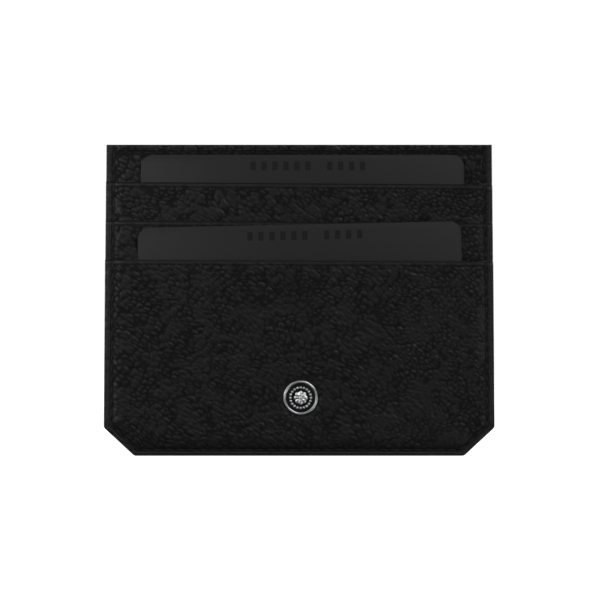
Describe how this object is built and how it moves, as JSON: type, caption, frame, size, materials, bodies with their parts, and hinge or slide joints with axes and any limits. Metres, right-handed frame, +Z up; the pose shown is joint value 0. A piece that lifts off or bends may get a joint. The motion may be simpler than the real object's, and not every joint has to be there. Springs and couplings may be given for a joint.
{
  "type": "card holder",
  "caption": "Flat leather card holder with cut foot corners, stepped card slots front and rear, a note compartment, a round metal badge and two loose dummy cards.",
  "frame": {"origin": "middle of the foot edge on which the holder stands upright", "axes": "+X to the right along the width as seen from the front, +Y to the rear, +Z up towards the pocket mouths; the badge faces -Y"},
  "size_m": [0.1034, 0.0086, 0.0824],
  "materials": {
    "black_leather": "tumbled pebble grain, semi-matt",
    "lining_twill": "fine twill",
    "stiffening_board": "bonded leather board",
    "skived_leather": "raw skived leather",
    "bonding_tape": "woven tape",
    "black_thread": "bonded twisted thread",
    "edge_paint": "smooth satin edge paint",
    "badge_metal": "polished palladium-look plating",
    "badge_ground": "darkened, fine matt",
    "card_plastic": "matt printed card"
  },
  "bodies": {
    "holder": {"front_panel": "black_leather", "front_stiffener": "stiffening_board", "front_lining": "lining_twill", "front_upper_pocket": "black_leather", "front_upper_pocket_lining": "lining_twill", "front_upper_slot_floor": "bonding_tape", "front_middle_pocket": "black_leather", "front_middle_pocket_lining": "lining_twill", "front_middle_slot_floor": "bonding_tape", "front_lower_pocket": "black_leather", "front_edge_filler": "skived_leather", "front_perimeter_stitching": "black_thread", "front_mouth_stitching": "black_thread", "front_slot_floor_stitching": "black_thread", "rear_panel": "black_leather", "rear_stiffener": "stiffening_board", "rear_lining": "lining_twill", "rear_upper_pocket": "black_leather", "rear_upper_pocket_lining": "lining_twill", "rear_upper_slot_floor": "bonding_tape", "rear_middle_pocket": "black_leather", "rear_middle_pocket_lining": "lining_twill", "rear_middle_slot_floor": "bonding_tape", "rear_lower_pocket": "black_leather", "rear_edge_filler": "skived_leather", "rear_perimeter_stitching": "black_thread", "rear_mouth_stitching": "black_thread", "rear_slot_floor_stitching": "black_thread", "seam_tape": "bonding_tape", "edge_paint": "edge_paint", "badge_bezel": "badge_metal", "badge_ground": "badge_ground", "badge_bead_ring": "badge_metal", "badge_rosette": "badge_metal", "badge_backing_plate": "badge_metal"},
    "upper_card": {"upper_card": "card_plastic"},
    "lower_card": {"lower_card": "card_plastic"}
  },
  "joints": [
    {"name": "upper_card_slide", "type": "slide", "parent": "holder", "child": "upper_card", "axis": [0, 0, 1], "range_m": [0, 0.048]},
    {"name": "lower_card_slide", "type": "slide", "parent": "holder", "child": "lower_card", "axis": [-0.0209, 0, 0.9998], "range_m": [-0.001, 0.047]}
  ]
}
